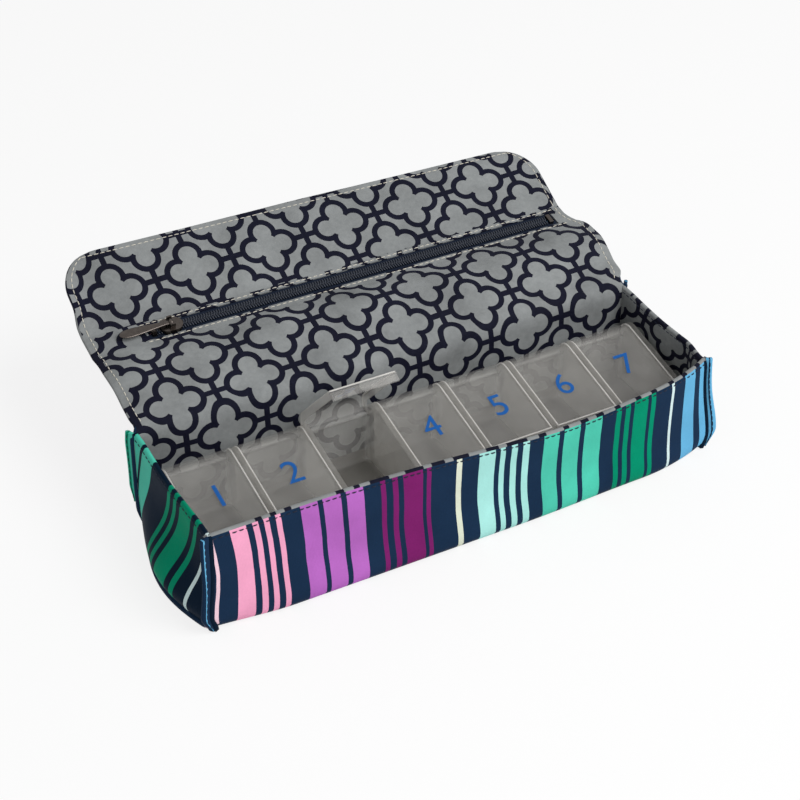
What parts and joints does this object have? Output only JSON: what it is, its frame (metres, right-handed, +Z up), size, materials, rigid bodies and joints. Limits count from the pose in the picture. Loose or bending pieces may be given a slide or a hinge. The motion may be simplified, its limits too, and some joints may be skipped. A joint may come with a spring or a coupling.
{
  "type": "pill organizer",
  "caption": "Soft striped fabric case with a fold-over flap and zipper pocket, holding a lift-out frosted plastic weekly pill box with hinged lids.",
  "frame": {"origin": "centre of the base's underside", "axes": "+X along the case to its right end, -Y towards the front wall, +Z up"},
  "size_m": [0.2758, 0.1891, 0.0899],
  "materials": {
    "striped_cloth": "satin weave with coloured stripes",
    "patterned_lining": "smooth printed cloth",
    "stiffening_board": "dense felt board",
    "pocket_cloth": "thin woven cloth",
    "zipper_tape": "woven tape",
    "zipper_coil": "coiled nylon",
    "dark_metal": "dark bronze plating",
    "magnet": "plated",
    "frosted_plastic": "frosted translucent"
  },
  "bodies": {
    "case": {"outer_base": "striped_cloth", "outer_front": "striped_cloth", "outer_back": "striped_cloth", "outer_left_end": "striped_cloth", "outer_right_end": "striped_cloth", "board_base": "stiffening_board", "board_front": "stiffening_board", "board_back": "stiffening_board", "board_left_end": "stiffening_board", "board_right_end": "stiffening_board", "lining_base": "patterned_lining", "lining_front": "patterned_lining", "lining_back": "patterned_lining", "lining_left_end": "patterned_lining", "lining_right_end": "patterned_lining", "seam_front_left": "striped_cloth", "seam_front_right": "striped_cloth", "seam_back_right": "striped_cloth", "seam_back_left": "striped_cloth", "front_magnets": "magnet"},
    "pill_box": {"pill_tray": "frosted_plastic"},
    "lid_sunday": {"sunday_lid": "frosted_plastic"},
    "lid_monday": {"monday_lid": "frosted_plastic"},
    "lid_tuesday": {"tuesday_lid": "frosted_plastic"},
    "lid_wednesday": {"wednesday_lid": "frosted_plastic"},
    "lid_thursday": {"thursday_lid": "frosted_plastic"},
    "lid_friday": {"friday_lid": "frosted_plastic"},
    "lid_saturday": {"saturday_lid": "frosted_plastic"},
    "flap": {"hinge_welt": "striped_cloth", "crease_welt": "patterned_lining", "flap_outer": "striped_cloth", "flap_board": "stiffening_board", "pocket_bag": "pocket_cloth", "flap_lining": "patterned_lining", "zipper_tape_upper": "zipper_tape", "zipper_tape_lower": "zipper_tape", "zipper_coil_upper": "zipper_coil", "zipper_coil_lower": "zipper_coil", "zipper_stops": "dark_metal", "strip_lining": "patterned_lining", "strip_board": "stiffening_board", "strip_outer": "striped_cloth", "fold_welt": "patterned_lining"},
    "tuck": {"tuck_lining": "patterned_lining", "tuck_board": "stiffening_board", "tuck_outer": "striped_cloth", "tuck_magnets": "magnet"},
    "slider": {"zipper_slider": "dark_metal"},
    "pull": {"pull_tab": "dark_metal"}
  },
  "joints": [
    {"name": "tray_lift", "type": "slide", "parent": "case", "child": "pill_box", "axis": [0, 0, 1], "range_m": [0, 0.06]},
    {"name": "sunday_hinge", "type": "hinge", "parent": "pill_box", "child": "lid_sunday", "pos_m": [0, 0.031, 0.033], "axis": [-1, 0, 0], "range_deg": [0, 85]},
    {"name": "monday_hinge", "type": "hinge", "parent": "pill_box", "child": "lid_monday", "pos_m": [0, 0.031, 0.033], "axis": [-1, 0, 0], "range_deg": [0, 85]},
    {"name": "tuesday_hinge", "type": "hinge", "parent": "pill_box", "child": "lid_tuesday", "pos_m": [0, 0.031, 0.033], "axis": [-1, 0, 0], "range_deg": [-58, 27]},
    {"name": "wednesday_hinge", "type": "hinge", "parent": "pill_box", "child": "lid_wednesday", "pos_m": [0, 0.031, 0.033], "axis": [-1, 0, 0], "range_deg": [0, 85]},
    {"name": "thursday_hinge", "type": "hinge", "parent": "pill_box", "child": "lid_thursday", "pos_m": [0, 0.031, 0.033], "axis": [-1, 0, 0], "range_deg": [0, 85]},
    {"name": "friday_hinge", "type": "hinge", "parent": "pill_box", "child": "lid_friday", "pos_m": [0, 0.031, 0.033], "axis": [-1, 0, 0], "range_deg": [0, 85]},
    {"name": "saturday_hinge", "type": "hinge", "parent": "pill_box", "child": "lid_saturday", "pos_m": [0, 0.031, 0.033], "axis": [-1, 0, 0], "range_deg": [0, 85]},
    {"name": "flap_hinge", "type": "hinge", "parent": "case", "child": "flap", "pos_m": [0, 0.0435, 0.0542], "axis": [-1, 0, 0], "range_deg": [-160.5, 20]},
    {"name": "tuck_hinge", "type": "hinge", "parent": "flap", "child": "tuck", "pos_m": [0, 0.12839, 0.082], "axis": [-1, 0, 0], "range_deg": [-72, 10]},
    {"name": "slider_run", "type": "slide", "parent": "flap", "child": "slider", "axis": [1, 0, 0], "range_m": [0, 0.207]},
    {"name": "pull_hinge", "type": "hinge", "parent": "slider", "child": "pull", "pos_m": [-0.092, 0.09621, 0.07025], "axis": [0, 0.9724, 0.2334], "range_deg": [0, 165]}
  ],
  "couplings": [
    {"joint": "tuesday_hinge", "follows": "flap_hinge", "ratio": 0.3613}
  ]
}
